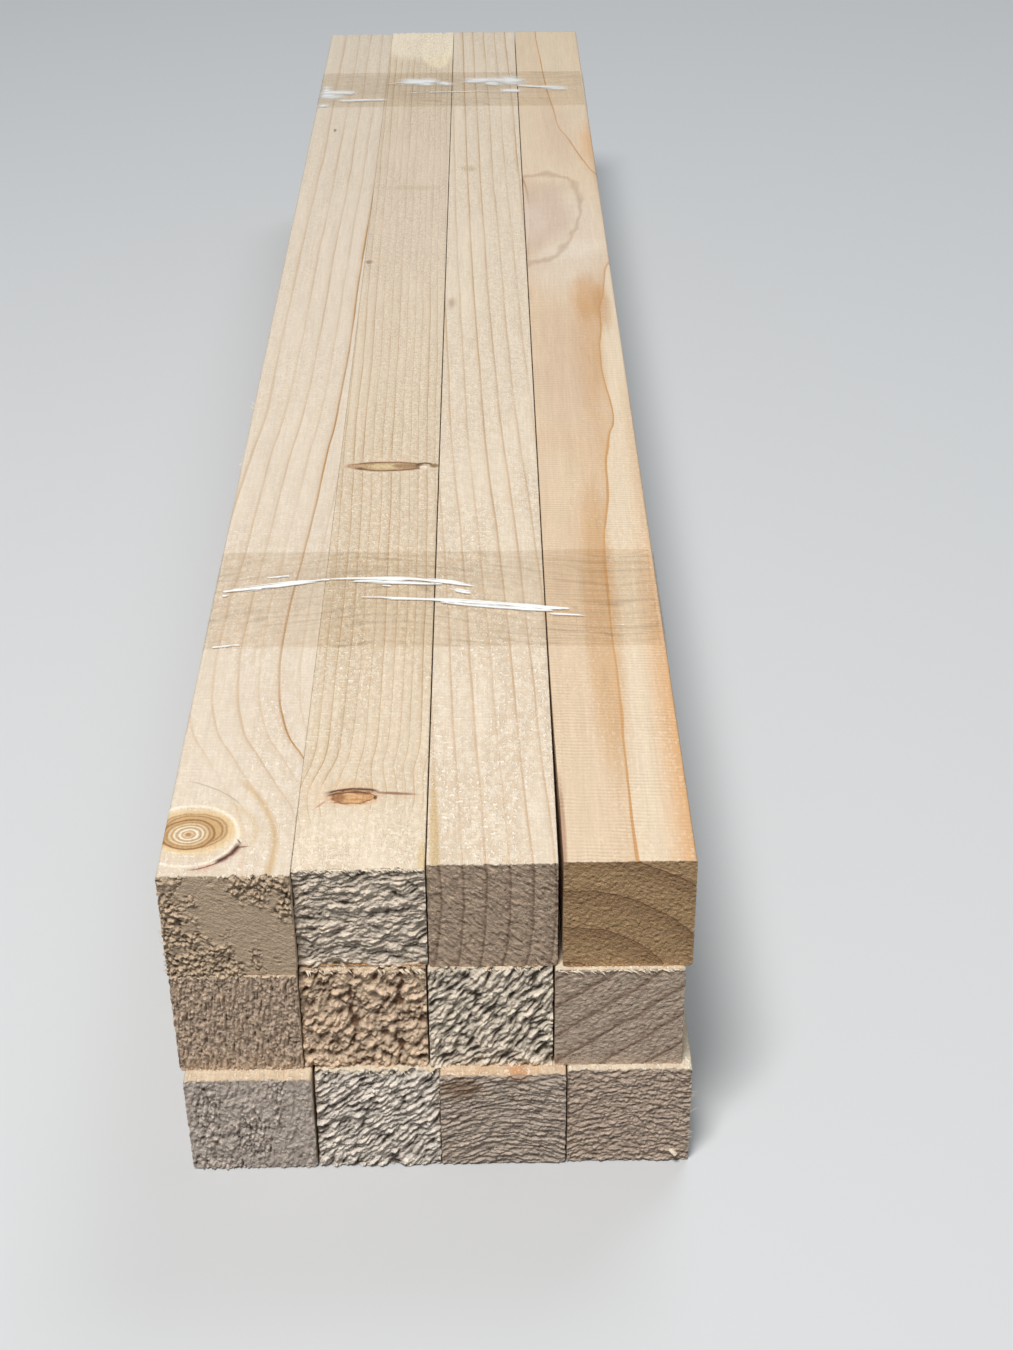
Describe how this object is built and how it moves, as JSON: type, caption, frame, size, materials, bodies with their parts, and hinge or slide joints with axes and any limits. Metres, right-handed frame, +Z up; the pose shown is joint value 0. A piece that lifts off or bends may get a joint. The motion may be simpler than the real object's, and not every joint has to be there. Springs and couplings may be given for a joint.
{
  "type": "bundle of square wooden battens",
  "caption": "Bundle of square softwood battens, stacked in even rows and held near both ends by tight bands of clear film, lying flat.",
  "frame": {"origin": "middle of the bundle's footprint, on the floor", "axes": "+X across the bundle to its right, +Y along the battens from the front ends to the back ends, +Z up"},
  "size_m": [0.112, 0.606, 0.0807],
  "materials": {
    "softwood": "planed, unfinished",
    "clear_film": "clear and glossy"
  },
  "bodies": {
    "root": {"batten_bottom_1": "softwood", "batten_bottom_2": "softwood", "batten_bottom_3": "softwood", "batten_bottom_4": "softwood", "batten_middle_1": "softwood", "batten_middle_2": "softwood", "batten_middle_3": "softwood", "batten_middle_4": "softwood", "batten_top_1": "softwood", "batten_top_2": "softwood", "batten_top_3": "softwood", "batten_top_4": "softwood", "film_band_front": "clear_film", "film_band_back": "clear_film"}
  },
  "joints": []
}
